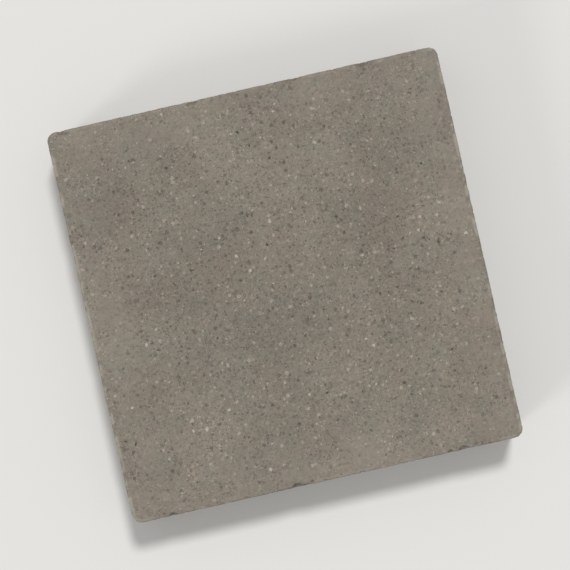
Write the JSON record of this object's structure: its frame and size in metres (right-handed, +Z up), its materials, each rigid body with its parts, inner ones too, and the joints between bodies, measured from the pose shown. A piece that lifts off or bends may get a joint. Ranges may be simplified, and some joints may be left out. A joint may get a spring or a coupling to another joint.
{
  "type": "concrete paving stone",
  "caption": "Square grey concrete paving stone with sharp edges, rounded upright corners and low spacer ribs on its sides that keep an even laying joint.",
  "frame": {"origin": "middle of the bedding face, the underside that lies on the bed", "axes": "+Z up through the walking face; +X and +Y square to the sides, along the laying grid"},
  "size_m": [0.3, 0.3, 0.05],
  "materials": {
    "concrete": "matte"
  },
  "bodies": {
    "root": {"paving_stone": "concrete"}
  },
  "joints": []
}
